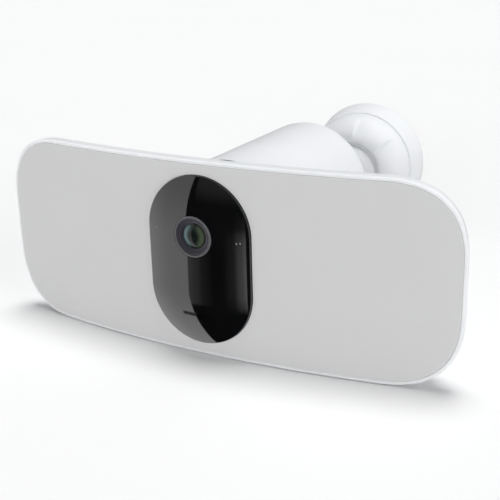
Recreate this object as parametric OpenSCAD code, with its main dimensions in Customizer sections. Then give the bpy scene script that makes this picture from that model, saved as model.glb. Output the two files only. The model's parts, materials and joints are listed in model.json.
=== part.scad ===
// Battery floodlight with a security camera, on a ball-jointed wall mount.
// The wall is the plane y = 0, +Z is up, and the lamp looks along -Y.
// Every size named ..._d is a distance out from the wall.
// The head (lamp, camera and battery core) slides out of a pod that the ball joint carries.

/* [Lamp] */
// Width of the lamp across its white rim
lamp_w = 343; // [330:1:420]
// Height of the lamp across its white rim
lamp_h = 134; // [134:1:165]
// Corner radius of the rim
lamp_r = 50; // [44:1:56]
// Radius of the bowed front, about an upright axis
bow_r = 759; // [700:1:1200]
// Thickness of the rim's side wall
rim_wall = 2.3; // [1.8:0.1:3]
// Depth of the rim's side wall, which follows the bow
rim_depth = 9.5; // [9.5:0.1:10.5]
// Depth of the whole lamp at its two ends
lamp_end = 18.9; // [18:0.1:24]
// Width of the ledge round the back panel
back_ledge = 12; // [11:0.5:14]
// Wall of the back housing
back_wall = 2.3; // [1.8:0.1:3]
// Thickness of the grey diffuser
diffuser_t = 2.4; // [1.8:0.1:3]
// Thickness of the seal under the diffuser
seal_t = 1.2; // [0.8:0.1:1.6]

/* [Camera window] */
// Width of the black window
window_w = 75.4; // [72:0.1:84]
// Height of the black window
window_h = 115.4; // [112:0.1:118]
// How far the window stands proud of the diffuser
window_proud = 9; // [7:0.5:12]
// Radius of the window's dome
window_dome_r = 100; // [90:1:200]
// Wall of the window
window_wall = 2.2; // [1.8:0.1:2.6]
// Height of the lens axis above the window's centre
lens_z = 19; // [15:0.5:21]
// Outer radius of the lens trim ring
lens_ring_r = 13.7; // [13:0.1:16]
// Distance of the sound slot below the window's centre
slot_z = 35; // [33:0.5:37]
// Length of the sound slot
slot_w = 21; // [14:0.5:24]
// Height of the sound slot
slot_h = 2.4; // [2:0.1:3]
// Ribs across the sound slot
slot_ribs = 12; // [5:1:14]
// Distance of the sensor ports in from the window's edge
port_in = 7.2; // [6:0.1:9]

/* [Lights] */
// Columns of light emitters on each board
led_cols = 6; // [3:1:7]
// Rows of light emitters on each board
led_rows = 5; // [3:1:5]
// Side of one light emitter
led_w = 3.5; // [2.5:0.1:4]
// Spacing of the light emitters
led_pitch = 14; // [12:0.5:15]
// Thickness of the light boards
led_board_t = 1.2; // [1:0.1:1.6]
// Thickness of the heat spreaders
spreader_t = 2.2; // [1.5:0.1:2.5]

/* [Pod and core] */
// Width of the pod
pod_w = 98; // [92:1:112]
// Height of the pod
pod_h = 118; // [114:1:120]
// Length of the pod
pod_len = 133; // [125:1:170]
// Wall of the pod
pod_wall = 2.8; // [2.2:0.1:3.4]
// Rounding of the pod's back edge
pod_edge = 9; // [5:0.5:11]
// Wall of the core that carries the battery
core_wall = 2.2; // [1.8:0.1:2.6]
// Length of the battery
battery_len = 88; // [70:1:92]
// Width of the battery
battery_w = 62; // [50:1:66]
// Height of the battery
battery_h = 34; // [26:1:38]

/* [Buttons] */
// Length of the release button across the pod
release_w = 26; // [20:1:30]
// Width of the release button along the pod
release_l = 14; // [10:1:16]
// Travel of the release button
release_travel = 2; // [1.5:0.1:2.5]
// Radius of the sync button
sync_r = 6; // [5:0.5:8]
// Travel of the sync button
sync_travel = 1.2; // [0.8:0.1:1.6]

/* [Wall mount] */
// Radius of the base at the wall
base_r = 51; // [48:0.5:60]
// Radius of the base at its seam with the collar
base_front_r = 47; // [45:0.5:47.5]
// Depth of the base
base_depth = 23.3; // [22:0.1:25]
// Radius of the ball
ball_r = 26; // [22:0.5:26]
// Gap between the ball and the wall plate
ball_back = 3.5; // [3.5:0.5:7]
// Distance of the collar's mouth in front of the ball's centre
mouth_lead = 14; // [13:0.5:15]
// Gap between the ball and the collar's mouth
mouth_gap = 3.6; // [3.2:0.1:5]
// Radius of the neck behind the pod
neck_r = 11; // [8:0.5:11]
// Radius of the neck's flange at the pod
flange_r = 25; // [20:1:30]
// Distance from the ball's centre to the pod's back
neck_len = 90; // [85:1:120]
// Ridges round the collar
collar_ridges = 8; // [6:1:12]
// Radius of the circle of wall screws
wall_screw_circle = 31; // [30:0.5:34]
// Radius of the wall screw holes
wall_screw_r = 2.4; // [2:0.1:2.6]

/* [Hidden] */

$fn = 64;
big_fn = 720;

white = [0.93, 0.94, 0.95];
pale_grey = [0.80, 0.80, 0.80];
dark = [0.10, 0.10, 0.11];
gloss_black = [0.02, 0.02, 0.02];
rubber_grey = [0.28, 0.28, 0.29];
board_green = [0.05, 0.28, 0.16];
board_white = [0.90, 0.90, 0.88];
emitter = [0.98, 0.88, 0.45];
alloy = [0.75, 0.76, 0.78];
brass = [0.78, 0.62, 0.30];
steel = [0.62, 0.63, 0.65];

// Clearances
slip = 0.3;        // between curved faces that move past each other
running = 0.05;    // of the stud in its insert, and of the seal between bowed faces
seat = 0.2;        // round a piece that drops into a pocket
core_gap = 1.2;    // of the core inside the pod
gasket_t = 1.5;    // of the gasket against the wall
plate_t = 3;       // of the metal plate behind the base
washer_t = 1;       // of the washer between the neck and the pod
eps = 0.01;        // overshoot of a cut past the face that it opens

// Depths, from the wall outwards
plate_front_d = gasket_t + plate_t;
ball_d = plate_front_d + ball_back + ball_r;
collar_back_d = base_depth + slip;
spigot_d = ball_d + 2;
mouth_d = ball_d + mouth_lead;
pod_back_d = ball_d + neck_len;
pod_front_d = pod_back_d + pod_len;
back_d = pod_front_d + 1;
floor_d = back_d + back_wall;

// The bowed front
diffuser_w = lamp_w - 2 * rim_wall - 2 * seat;
diffuser_h = lamp_h - 2 * rim_wall - 2 * seat;
diffuser_r = lamp_r - rim_wall - seat;
function sag(x, r) = r - sqrt(r * r - x * x);
front_d = back_d + lamp_end + sag(diffuser_w / 2, bow_r);
ledge_t = 2.2;
ledge_drop = rim_depth - ledge_t;
skirt_drop = ledge_drop - seal_t;
spot_face = 0.6;
screw_hole_r = 1.7;
screw_r = 1.15;
screw_head_r = 2.8;
screw_bite = 2.6;
diffuser_hole_w = window_w + 2 * slip;
diffuser_hole_h = window_h + 2 * slip;

// The pod and what slides in it
pod_in_w = pod_w - 2 * pod_wall;
pod_in_h = pod_h - 2 * pod_wall;
core_w = pod_in_w - 2 * core_gap;
core_h = pod_in_h - 2 * core_gap;
pod_boss_r = 12;
insert_r = 8;
stud_r = 6;
stud_len = 13;
pod_boss_d = pod_back_d + stud_len + 2;
core_back_d = pod_boss_d + 3;
cap_t = 3;
core_screw_head_r = 3;
core_screw_head_t = 1.6;
core_screw_r = 1.2;
core_screw_x = core_w / 2 - 6.5;
battery_back_d = core_back_d + cap_t + 1;
contact_l = 7;
battery_front_d = battery_back_d + battery_len + contact_l;
battery_top_z = -core_h / 2 + 5 + battery_h;
deck_t = 2;
core_lid_z = battery_top_z + 1;
board_t = 1.6;
board_top_z = core_lid_z + deck_t + 8.6;
main_board_w = core_w - 22;
main_board_l = 92;
main_board_front_d = back_d - 14;

// The lights behind the diffuser
tray_w = lamp_w - 2 * back_ledge - 2 * back_wall;
tray_h = lamp_h - 2 * back_ledge - 2 * back_wall;
tray_r = lamp_r - back_ledge - back_wall;
light_gap = 8;
light_in_x = max(window_w / 2 + light_gap, core_screw_x + core_screw_head_r + 3.5);
light_out_x = tray_w / 2 - light_gap;
light_mid_x = (light_in_x + light_out_x) / 2;
spreader_d = floor_d + 0.2;
led_board_d = spreader_d + spreader_t;
led_d = led_board_d + led_board_t;
led_t = 0.8;
reflector_d = led_d + 0.2;

// The camera
window_d = front_d + window_proud;
window_flat = (window_h - window_w) / 2;
window_in_d = window_d - window_wall;
window_skirt = 4;
window_skirt_d = front_d - window_skirt;
frame_w = window_w - 2 * window_wall - 2 * seat;
frame_h = window_h - 2 * window_wall - 2 * seat;
frame_wall = 1.5;
frame_low_in = 4;
frame_low_w = frame_w - 2 * frame_low_in;
frame_low_h = frame_h - 2 * frame_low_in;
board_in = frame_wall + seat;
seal_in = 3;
shelf_d = window_skirt_d - 2;
shelf_t = 1.2;
port_r = 0.6;
port_x = window_w / 2 - port_in;
port_z = lens_z + 1.2;
port_pair_x = port_x + 0.4;
port_pair_z = lens_z - 1.5;
port_pitch = 2.2;
camera_board_d = back_d + 17;
parts_d = camera_board_d + board_t;
lens_ring_t = 1;
lens_in_r = lens_ring_r - lens_ring_t - 0.1;
lens_ring_d = window_d - 0.2;
lens_cover_d = window_d - 1.8;
lens_cover_t = 1.2;
lens_body_r = 10;
lens_bore_r = 7.4;
lens_seat_d = lens_cover_d - lens_cover_t;
element_front_d = lens_seat_d - 1.4;
element_back_d = window_d - 14;
holder_d = window_d - 14;
slot_reach = norm([slot_w / 2 + 2, slot_z + slot_h / 2 + 2 - window_flat]);
slot_floor_d = window_in_d - sag(slot_reach, window_dome_r - window_wall) - seat;
rib_reach = norm([slot_w / 2, slot_z + slot_h / 2 - window_flat]);
rib_d = window_d - sag(rib_reach, window_dome_r) - 0.5;
rib_w = 0.6;

// Buttons
release_d = pod_front_d - 30;
release_z = -pod_h / 2;
leaf_z = release_z + pod_wall + 0.3;
sync_x = -(light_in_x + 14);
charge_x = light_in_x + 22;
charge_r = 9;
charge_z = -tray_h / 4;
charge_pin_r = 1.1;
charge_pitch = 4;

// Wall mount
plate_r = base_r - 4;
tab_w = 12;
tab_t = 2;
tab_len = 6.5;
tab_z = -(plate_r - 3);
set_screw_r = 2;
set_screw_d = plate_front_d + tab_len / 2;
liner_in_r = ball_r + slip;
liner_out_r = liner_in_r + 1.6;
socket_r = liner_out_r + slip;
spigot_r = socket_r + 6;
ring_out_r = ball_r + 7;
ring_front_d = mouth_d - 3.5;
mouth_r = sqrt(ball_r * ball_r - mouth_lead * mouth_lead) + mouth_gap;
collar_r = base_front_r - 1.5;
collar_lip_r = mouth_r + 2;
ridge_turn = 2;
neck_front_d = pod_back_d - slip - washer_t;

// A flat outline (x across, y up) given depth from back to front, out from the wall
module slab(back, front) {
    translate([0, -back, 0])
        rotate([90, 0, 0])
            linear_extrude(front - back) children();
}

// A profile (x is the radius, y the distance from the wall) turned about the Y axis
module turned() {
    rotate([90, 0, 0])
        rotate_extrude() children();
}

module round_rect(w, h, r) {
    square([w - 2 * r, h], center = true);
    square([w, h - 2 * r], center = true);
    for (sx = [-1, 1], sy = [-1, 1])
        translate([sx * (w / 2 - r), sy * (h / 2 - r)]) circle(r);
}

module stadium(w, h) {
    square([w, h - w], center = true);
    for (s = [-1, 1])
        translate([0, s * (h - w) / 2]) circle(w / 2);
}

// Everything behind a front bowed about an upright axis
module bowed(front, r, h) {
    translate([0, r - front, -h / 2]) cylinder(r = r, h = h, $fn = big_fn);
}

// Everything that lies at least this far behind the lamp's bowed front
module behind_front(drop) {
    bowed(front_d - drop, bow_r - drop, lamp_h + 2);
}

// A stadium-shaped block with one edge rounded, at its low end or its high end
module pill_block(w, h, low, high, edge, round_low) {
    flat_low = round_low ? low + edge : low;
    flat_high = round_low ? high : high - edge;
    edge_d = round_low ? low + edge : high - edge;
    module profile(s) {
        translate([0, flat_low]) square([w / 2, flat_high - flat_low]);
        translate([0, low]) square([w / 2 - edge, high - low]);
        translate([w / 2 - edge, edge_d]) circle(edge);
    }
    for (s = [-1, 1])
        translate([0, 0, s * (h - w) / 2]) turned() profile();
    for (side = [0, 1])
        mirror([side, 0, 0])
            translate([0, 0, -(h - w) / 2])
                linear_extrude(h - w) mirror([0, 1]) profile();
}

// A stadium-shaped block whose front is a dome, straight along the middle
module domed_block(w, h, back, front, r) {
    module half() {
        intersection() {
            translate([0, back]) square([w / 2, front - back]);
            translate([0, front - r]) circle(r, $fn = big_fn);
        }
    }
    for (s = [-1, 1])
        translate([0, 0, s * (h - w) / 2]) turned() half();
    for (side = [0, 1])
        mirror([side, 0, 0])
            translate([0, 0, -(h - w) / 2])
                linear_extrude(h - w) mirror([0, 1]) half();
}

// A straight round rod along Y, from back to front
module rod(r, back, front, x = 0, z = 0) {
    translate([x, -back, z]) rotate([90, 0, 0]) cylinder(r = r, h = front - back);
}

// A block that spans back to front, centred on x and z
module block(w, h, back, front, x = 0, z = 0) {
    translate([x - w / 2, -front, z - h / 2]) cube([w, front - back, h]);
}

module at_ball() {
    translate([0, -ball_d, 0]) children();
}

// ---- Wall mount ----

module wall_holes(r, back, front) {
    for (a = [90, 210, 330])
        rod(r, back, front, wall_screw_circle * cos(a), wall_screw_circle * sin(a));
}

module mount_gasket() {
    color(rubber_grey) difference() {
        rod(plate_r, 0, gasket_t);
        wall_holes(wall_screw_r + 1, -eps, gasket_t + eps);
    }
}

// The plate is screwed to the wall first; its folded tab takes the base's set screw
module wall_plate() {
    color(steel) {
        difference() {
            rod(plate_r, gasket_t, plate_front_d);
            rod(12, gasket_t - eps, plate_front_d + eps);
            wall_holes(wall_screw_r, gasket_t - eps, plate_front_d + eps);
        }
        block(tab_w, tab_t, plate_front_d - 1, plate_front_d + tab_len, 0, tab_z);
    }
}

module mount_base() {
    lip = 3;
    color(white) difference() {
        union() {
            turned() {
                polygon([
                    [0, lip], [base_r, lip], [base_r, lip + 2],
                    [base_front_r, base_depth], [0, base_depth]
                ]);
                square([base_r - lip, lip]);
                translate([base_r - lip, lip]) circle(lip);
            }
            rod(spigot_r, base_depth - 1, spigot_d);
        }
        rod(plate_r + seat, -eps, plate_front_d);
        at_ball() sphere(socket_r);
        rod(socket_r, ball_d, spigot_d + eps);
        wall_holes(wall_screw_r + 2.4, plate_front_d - eps, plate_front_d + 3.5);
        block(tab_w + 1, tab_t + 1, plate_front_d - eps, plate_front_d + tab_len + 0.5,
            0, tab_z);
        translate([0, -set_screw_d, -base_r - 1])
            cylinder(r = set_screw_r, h = base_r + 1 + tab_z);
    }
}

module base_set_screw() {
    low = -base_r + 1;
    color(steel) difference() {
        translate([0, -set_screw_d, low])
            cylinder(r = set_screw_r, h = tab_z - tab_t / 2 - low);
        translate([0, -set_screw_d, low - 1]) cylinder(r = 1, h = 3, $fn = 6);
    }
}

// Point on the collar's domed outside, an elliptic quarter from the seam to the mouth
function dome_point(angle) = [
    collar_lip_r + (collar_r - collar_lip_r) * cos(angle),
    collar_back_d + (mouth_d - collar_back_d) * sin(angle)
];

module locking_collar() {
    steps = 12;
    outside = [for (i = [0:steps]) dome_point(90 * i / steps)];
    color(white) difference() {
        turned() difference() {
            polygon(concat([[0, collar_back_d]], outside, [[0, mouth_d]]));
            translate([0, collar_back_d - eps])
                square([spigot_r + slip, spigot_d + slip - collar_back_d]);
            square([ring_out_r, ring_front_d]);
            square([mouth_r, mouth_d + eps]);
        }
        for (i = [0:collar_ridges - 1])
            rotate([0, ridge_turn + i * 360 / collar_ridges, 0]) finger_scoop();
    }
}

// A shallow scoop along the dome's slope, cut off short at the ridge it starts from
module finger_scoop() {
    sector = 360 / collar_ridges;
    lead = 0.22 * sector;
    scoop_r = 150;
    scoop_depth = 2.6;
    reach = 2 * base_r;
    slope = atan((collar_r - collar_lip_r) / (mouth_d - collar_back_d));
    p = dome_point(45);
    out = scoop_r - scoop_depth;
    intersection() {
        rotate([0, lead, 0])
            translate([0, -p[1] - out * sin(slope), p[0] + out * cos(slope)])
                rotate([90 + slope, 0, 0])
                    cylinder(r = scoop_r, h = 80, center = true, $fn = 256);
        slab(0, mouth_d + 1)
            polygon([[0, 0], [0, reach], [reach * sin(sector), reach * cos(sector)]]);
    }
}

module collar_ring() {
    color(pale_grey) difference() {
        union() {
            rod(ring_out_r, spigot_d + slip, ring_front_d);
            rod(mouth_r - slip, ring_front_d - 1, mouth_d - 0.8);
        }
        at_ball() sphere(ball_r + slip);
    }
}

module ball_liner() {
    half_angle = 58;
    color(pale_grey) at_ball() intersection() {
        difference() {
            sphere(liner_out_r);
            sphere(liner_in_r);
        }
        rotate([-90, 0, 0])
            cylinder(r1 = 0, r2 = 40 * tan(half_angle), h = 40);
    }
}

// The ball, its flared neck and the stud that enters the pod
module ball_stud() {
    flange_t = 12;
    flare = flange_r - neck_r;
    flare_d = neck_front_d - flange_t - flare;
    wire_hole_r = 3;
    wire_hole_l = 20;
    color(white) difference() {
        union() {
            at_ball() sphere(ball_r);
            rod(neck_r, ball_d, neck_front_d);
            turned() difference() {
                translate([0, flare_d]) square([flange_r, flare + flange_t]);
                translate([flange_r, flare_d]) circle(flare);
            }
            rod(stud_r, neck_front_d - 1, pod_back_d + stud_len);
        }
        rod(wire_hole_r, pod_back_d - wire_hole_l, pod_back_d + stud_len + eps);
    }
}

module swivel_washer() {
    color(dark) difference() {
        rod(flange_r - 2, neck_front_d, neck_front_d + washer_t);
        rod(stud_r + slip, neck_front_d - eps, pod_back_d);
    }
}

// ---- Pod ----

module pod_housing() {
    color(white) difference() {
        union() {
            difference() {
                pill_block(pod_w, pod_h, pod_back_d, pod_front_d, pod_edge, true);
                pill_block(pod_in_w, pod_in_h, pod_back_d + pod_wall, pod_front_d + 20,
                    pod_edge - pod_wall, true);
            }
            rod(pod_boss_r, pod_back_d + pod_wall - 1, pod_boss_d);
        }
        rod(insert_r, pod_back_d + pod_wall, pod_boss_d + eps);
        rod(stud_r + slip, pod_back_d - eps, pod_back_d + pod_wall + 1);
        release_opening();
    }
}

module release_opening() {
    block(release_w + 2 * slip, 16, release_d - slip, release_d + release_l + slip,
        0, release_z);
}

module thread_insert() {
    color(brass) difference() {
        rod(insert_r, pod_back_d + pod_wall, pod_boss_d);
        rod(stud_r + running, pod_back_d, pod_boss_d + eps);
    }
}

module pod_seal() {
    color(dark) slab(pod_front_d, back_d - 0.1) difference() {
        stadium(pod_w - 1, pod_h - 1);
        stadium(pod_in_w + 0.6, pod_in_h + 0.6);
    }
}

// The button is cut from the pod's own round underside, so it lies flush with it
module release_button() {
    plate = pod_wall - 0.4;
    color(pale_grey) {
        intersection() {
            difference() {
                pill_block(pod_w, pod_h, pod_back_d, pod_front_d, pod_edge, true);
                pill_block(pod_w - 2 * plate, pod_h - 2 * plate, pod_back_d - 1,
                    pod_front_d + 20, 1, true);
            }
            block(release_w, 16, release_d, release_d + release_l, 0, release_z);
        }
        translate([0, -(release_d + release_l / 2), release_z + plate - 0.6])
            cylinder(r = 3, h = leaf_z - release_z - plate + 0.6);
    }
}

// A leaf spring that bridges the opening inside the pod and carries the button's post
module release_spring() {
    reach = 6;
    leaf_w = 7;
    leaf_t = 0.4;
    foot_l = 3;
    foot_w = 1.2;
    back = release_d - reach;
    front = release_d + release_l + reach;
    color(steel) {
        block(leaf_w, leaf_t, back, front, 0, leaf_z + leaf_t / 2);
        for (d = [back, front - foot_l])
            block(foot_w, leaf_z - release_z - pod_wall, d, d + foot_l, 0,
                (leaf_z + release_z + pod_wall) / 2);
    }
}

// ---- Lamp housing ----

module rear_housing() {
    color(white) difference() {
        intersection() {
            union() {
                difference() {
                    slab(back_d, front_d) round_rect(lamp_w, lamp_h, lamp_r);
                    behind_front(rim_depth);
                }
                slab(back_d, front_d)
                    round_rect(lamp_w - 2 * back_ledge, lamp_h - 2 * back_ledge,
                        lamp_r - back_ledge);
            }
            behind_front(0.5);
        }
        difference() {
            slab(back_d, front_d + 1)
                round_rect(diffuser_w + 2 * seat, diffuser_h + 2 * seat, diffuser_r + seat);
            behind_front(ledge_drop);
        }
        slab(floor_d, front_d + 1) round_rect(tray_w, tray_h, tray_r);
        slab(back_d - 1, floor_d + 1) stadium(frame_w - 8, frame_h - 8);
        screw_spots() {
            rod(screw_hole_r, front_d - rim_depth - 1, front_d - ledge_drop + 1);
            rod(screw_head_r + 0.4, front_d - rim_depth - 2, front_d - rim_depth + spot_face);
        }
        core_screw_spots() rod(2, back_d - eps, floor_d + eps);
        rod(charge_r + seat, back_d - eps, floor_d + eps, charge_x, charge_z);
        rod(sync_r + slip, back_d - eps, floor_d + eps, sync_x, 0);
    }
}

// Screws through the ledge into the diffuser, above and below, set back with the bow
module screw_spots() {
    for (x = [-0.36, -0.17, 0.17, 0.36], s = [-1, 1])
        translate([x * lamp_w, sag(x * lamp_w, bow_r), s * (diffuser_h / 2 - 3.6)])
            children();
}

module light_diffuser() {
    inner_w = diffuser_w - 2 * diffuser_t;
    inner_h = diffuser_h - 2 * diffuser_t;
    boss_r = 3.4;
    color(pale_grey) difference() {
        intersection() {
            slab(back_d, front_d + 1) round_rect(diffuser_w, diffuser_h, diffuser_r);
            behind_front(0);
        }
        behind_front(skirt_drop);
        difference() {
            intersection() {
                slab(back_d, front_d) round_rect(inner_w, inner_h, diffuser_r - diffuser_t);
                behind_front(diffuser_t);
            }
            screw_spots() rod(boss_r, front_d - rim_depth, front_d);
        }
        slab(back_d, front_d + 1) stadium(diffuser_hole_w, diffuser_hole_h);
        screw_spots() rod(screw_r + running, front_d - rim_depth, front_d - skirt_drop + 3);
    }
}

module diffuser_seal() {
    color(dark) difference() {
        intersection() {
            slab(back_d, front_d) difference() {
                round_rect(diffuser_w, diffuser_h, diffuser_r);
                round_rect(tray_w + 2 * seal_in, tray_h + 2 * seal_in, tray_r + seal_in);
            }
            behind_front(skirt_drop + running);
        }
        behind_front(ledge_drop - running);
        screw_spots() rod(screw_hole_r, front_d - rim_depth, front_d);
    }
}

module housing_screws() {
    head_d = front_d - rim_depth + spot_face;
    head_t = 1.6;
    hex_r = 1.3;
    color(steel) screw_spots() difference() {
        union() {
            rod(screw_head_r, head_d - head_t, head_d);
            rod(screw_r, head_d, front_d - skirt_drop + screw_bite);
        }
        translate([0, -(head_d - head_t - 1), 0])
            rotate([90, 0, 0]) cylinder(r = hex_r, h = 1.8, $fn = 6);
    }
}

// ---- Lights ----

module light_outline(side, grow) {
    intersection() {
        round_rect(tray_w - 4 + 2 * grow, tray_h - 4 + 2 * grow, tray_r - 2 + grow);
        translate([side * light_mid_x, 0])
            square([light_out_x - light_in_x + 2 * grow, tray_h], center = true);
    }
}

module led_spots(side) {
    for (c = [0:led_cols - 1], r = [0:led_rows - 1])
        translate([side * light_mid_x + (c - (led_cols - 1) / 2) * led_pitch,
                0, (r - (led_rows - 1) / 2) * led_pitch])
            children();
}

module heat_spreader(side) {
    color(alloy) difference() {
        slab(spreader_d, led_board_d) light_outline(side, 1.5);
        if (side > 0)
            rod(charge_r + 2, spreader_d - eps, led_board_d + eps, charge_x, charge_z);
        if (side < 0)
            rod(sync_r + 3, spreader_d - eps, led_board_d + eps, sync_x, 0);
    }
}

module led_board(side) {
    color(board_white) slab(led_board_d, led_d) light_outline(side, 0);
}

module leds(side) {
    color(emitter) led_spots(side) block(led_w, led_w, led_d, led_d + led_t);
}

// White tray with a window for each emitter and a low wall round it
module reflector(side) {
    sheet_t = 0.8;
    wall_h = 7;
    color(white) {
        difference() {
            slab(reflector_d, reflector_d + sheet_t) light_outline(side, 0);
            led_spots(side) block(led_w + 1, led_w + 1, reflector_d - 1, reflector_d + 2);
        }
        slab(reflector_d + sheet_t, reflector_d + wall_h) difference() {
            light_outline(side, 0);
            light_outline(side, -1.2);
        }
    }
}

// ---- Camera ----

// The upright oval frame behind the window
module camera_frame() {
    board_lip = 2.6;
    shelf_lip = frame_low_in + frame_wall;
    color(dark) {
        slab(floor_d, shelf_d) difference() {
            stadium(frame_low_w, frame_low_h);
            stadium(frame_low_w - 2 * frame_wall, frame_low_h - 2 * frame_wall);
        }
        slab(camera_board_d - shelf_t, camera_board_d) difference() {
            stadium(frame_low_w - frame_wall, frame_low_h - frame_wall);
            stadium(frame_low_w - 2 * board_lip, frame_low_h - 2 * board_lip);
        }
        slab(shelf_d, shelf_d + shelf_t) difference() {
            stadium(frame_w, frame_h);
            stadium(frame_w - 2 * shelf_lip, frame_h - 2 * shelf_lip);
        }
    }
}

module window_ports(r) {
    rod(r, shelf_d, window_d + 1, -port_x, port_z);
    for (s = [-0.5, 0.5])
        rod(r, shelf_d, window_d + 1, port_pair_x + s * port_pitch, port_pair_z + 0.3 * s);
}

module camera_window() {
    color(gloss_black) difference() {
        domed_block(window_w, window_h, window_skirt_d, window_d, window_dome_r);
        domed_block(window_w - 2 * window_wall, window_h - 2 * window_wall,
            window_skirt_d - 1, window_in_d, window_dome_r - window_wall);
        rod(lens_ring_r + seat / 2, shelf_d, window_d + 1, 0, lens_z);
        block(slot_w, slot_h, shelf_d, window_d + 1, 0, -slot_z);
        window_ports(port_r);
    }
}

module window_seal() {
    seal_w = 3;
    color(rubber_grey) slab(window_skirt_d - 0.8, window_skirt_d) difference() {
        stadium(window_w - 0.6, window_h - 0.6);
        stadium(frame_w - 2 * seal_w + 1, frame_h - 2 * seal_w + 1);
    }
}

// A frame behind the slot, with ribs that stand forward into it
module slot_grille() {
    pitch = slot_w / slot_ribs;
    grille_t = 0.8;
    border = 2;
    bar = 0.6;
    color(dark) {
        slab(slot_floor_d - grille_t, slot_floor_d) translate([0, -slot_z]) difference() {
            square([slot_w + 2 * border, slot_h + 2 * border], center = true);
            square([slot_w, slot_h], center = true);
        }
        for (i = [0:slot_ribs - 1], x = [(i - (slot_ribs - 1) / 2) * pitch]) {
            block(rib_w, slot_h + 2 * bar, slot_floor_d - grille_t, slot_floor_d, x, -slot_z);
            block(rib_w, slot_h - 2 * seat, slot_floor_d - eps, rib_d, x, -slot_z);
        }
    }
}

module lens_ring() {
    color(pale_grey) translate([0, 0, lens_z]) turned()
        translate([lens_ring_r - lens_ring_t, shelf_d]) square([lens_ring_t, lens_ring_d - shelf_d]);
}

module lens_cover() {
    color(gloss_black) rod(lens_in_r, lens_seat_d, lens_cover_d, 0, lens_z);
}

module lens_barrel() {
    flange_t = 2.8;
    rear_d = element_back_d - 8;
    iris_r = 4.4;
    iris_t = 3;
    color(dark) difference() {
        union() {
            rod(lens_in_r, lens_seat_d - flange_t, lens_seat_d, 0, lens_z);
            rod(lens_body_r, rear_d, lens_seat_d, 0, lens_z);
        }
        rod(lens_bore_r, rear_d + iris_t, lens_seat_d + eps, 0, lens_z);
        rod(lens_bore_r + 1.2, element_front_d, lens_seat_d + eps, 0, lens_z);
        rod(iris_r, rear_d - eps, rear_d + iris_t + eps, 0, lens_z);
    }
}

// Two glass elements held in the barrel
module lens_elements() {
    front_r = 14;
    front_t = 5;
    back_t = 3;
    color([0.5, 0.6, 0.65]) translate([0, 0, lens_z]) turned() {
        intersection() {
            translate([0, element_front_d - front_t]) square([lens_bore_r, front_t]);
            translate([0, element_front_d - front_r]) circle(front_r);
        }
        translate([0, element_back_d - back_t]) square([lens_bore_r, back_t]);
    }
}

module lens_holder() {
    foot_w = 24;
    foot_t = 2.4;
    cavity = 11;
    cavity_d = parts_d + 5.4;
    color(dark) difference() {
        union() {
            block(foot_w, foot_w, parts_d, parts_d + foot_t, 0, lens_z);
            rod(lens_body_r + 2, parts_d, holder_d, 0, lens_z);
        }
        rod(lens_body_r, element_back_d - 8, holder_d + eps, 0, lens_z);
        block(cavity, cavity, parts_d - eps, cavity_d, 0, lens_z);
    }
}

module image_sensor() {
    color([0.2, 0.25, 0.35]) block(9, 7, parts_d, parts_d + 1.2, 0, lens_z);
}

module camera_board() {
    speaker_hole_r = 14;
    color(board_green) slab(camera_board_d, parts_d) difference() {
        stadium(frame_low_w - 2 * board_in, frame_low_h - 2 * board_in);
        translate([0, -slot_z]) circle(speaker_hole_r);
    }
}

// Infrared emitters round the lens, for the night view
module night_leds() {
    led_r = 2.5;
    span_x = 20;
    span_z = 12;
    lift = 4;
    color([0.45, 0.35, 0.45])
        for (sx = [-1, 1], sz = [-1, 1])
            rod(led_r, parts_d, window_skirt_d, sx * span_x, lens_z + lift + sz * span_z);
}

module light_sensor() {
    color(steel) rod(1.5, parts_d, window_skirt_d, port_x - 3, lens_z - 12);
}

module microphones() {
    color(steel)
        for (s = [-0.5, 0.5])
            block(2, 2.6, parts_d, parts_d + 1.4, port_pair_x - 4 + s * port_pitch,
                port_pair_z + 0.3 * s);
}

module motion_sensor() {
    can_r = 4.7;
    dome_r = 4.2;
    height = 4.4;
    z = -9;
    color(steel) {
        rod(can_r, parts_d, parts_d + 0.6, 0, z);
        rod(dome_r, parts_d + 0.6, parts_d + height, 0, z);
    }
}

module status_light() {
    color(emitter) rod(0.9, parts_d, window_skirt_d, -port_x + 3, port_z);
}

module speaker() {
    rear_d = camera_board_d - 3;
    rim_r = 13.4;
    magnet_r = 8;
    cone_r = 11.5;
    depth = 7;
    color(dark) translate([0, 0, -slot_z]) turned() difference() {
        union() {
            translate([0, rear_d]) square([rim_r, depth]);
            translate([0, rear_d - magnet_r / 2]) square([magnet_r, magnet_r / 2 + 1]);
        }
        polygon([[0, rear_d + 3], [cone_r / 3, rear_d + 3], [cone_r, rear_d + depth - 1],
            [cone_r, rear_d + depth + 1], [0, rear_d + depth + 1]]);
    }
}

module siren() {
    mouth_end_d = floor_d - 1;
    siren_r = 12;
    length = 12;
    mouth = 2.5;
    color(dark) translate([0, 0, lens_z - 4]) turned() difference() {
        translate([0, mouth_end_d - length]) square([siren_r, length]);
        translate([0, mouth_end_d - 3]) square([mouth, 4]);
    }
}

// ---- Core: what stands inside the pod ----

module core_screw_spots() {
    for (sx = [-1, 1], sz = [-1, 1])
        translate([sx * core_screw_x, 0, sz * (core_h - core_w) / 2]) children();
}

// Room under the core for the release button and its spring
module release_channel(front) {
    depth = release_travel + 2.4;
    block(release_w + 4, 2 * depth, core_back_d - 1, front, 0, -core_h / 2);
}

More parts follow.
